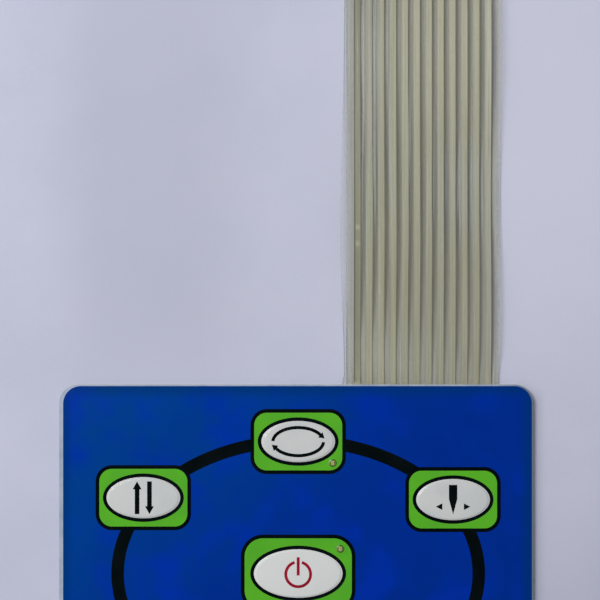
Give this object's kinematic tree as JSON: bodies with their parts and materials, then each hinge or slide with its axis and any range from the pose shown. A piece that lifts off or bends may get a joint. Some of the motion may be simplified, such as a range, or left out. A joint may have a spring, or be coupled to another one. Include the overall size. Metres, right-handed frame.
{
  "type": "membrane keypad",
  "caption": "Flat membrane keypad with domed oval keys, indicator lamps and a clear printed-circuit film tail that ends in a socket connector.",
  "frame": {"origin": "middle of the keypad's rear face, on the release liner", "axes": "+X to the keypad's right, +Y along the keypad towards its tail, +Z out of the printed face"},
  "size_m": [0.1014, 0.1993, 0.003],
  "materials": {
    "printed_overlay": "satin polyester, printed on its rear",
    "adhesive": "clear adhesive film",
    "spacer_film": "plain polyester film",
    "clear_film": "clear polyester film",
    "liner_paper": "waxed backing paper",
    "silver_ink": "matte printed silver",
    "dome_steel": "thin stainless sheet",
    "lamp_resin": "clear lamp resin",
    "housing_plastic": "moulded, fine matte",
    "terminal_metal": "tin plated"
  },
  "bodies": {
    "root": {"graphic_overlay": "printed_overlay", "overlay_adhesive": "adhesive", "spacer": "spacer_film", "tail_cover": "clear_film", "circuit_film": "clear_film", "rear_adhesive": "adhesive", "release_liner": "liner_paper", "connector_housing": "housing_plastic", "silver_common": "silver_ink", "silver_top": "silver_ink", "silver_upper_left": "silver_ink", "silver_upper_right": "silver_ink", "silver_centre": "silver_ink", "silver_lower_left": "silver_ink", "silver_lower_right": "silver_ink", "silver_bottom": "silver_ink", "silver_lamp_top_plus": "silver_ink", "silver_lamp_top_minus": "silver_ink", "silver_lamp_centre_plus": "silver_ink", "silver_lamp_centre_minus": "silver_ink", "snap_dome_top": "dome_steel", "snap_dome_upper_left": "dome_steel", "snap_dome_upper_right": "dome_steel", "snap_dome_centre": "dome_steel", "snap_dome_lower_left": "dome_steel", "snap_dome_lower_right": "dome_steel", "snap_dome_bottom": "dome_steel", "lamp_top": "lamp_resin", "lamp_centre": "lamp_resin", "terminal_01": "terminal_metal", "terminal_02": "terminal_metal", "terminal_03": "terminal_metal", "terminal_04": "terminal_metal", "terminal_05": "terminal_metal", "terminal_06": "terminal_metal", "terminal_07": "terminal_metal", "terminal_08": "terminal_metal", "terminal_09": "terminal_metal", "terminal_10": "terminal_metal", "terminal_11": "terminal_metal", "terminal_12": "terminal_metal"}
  },
  "joints": []
}
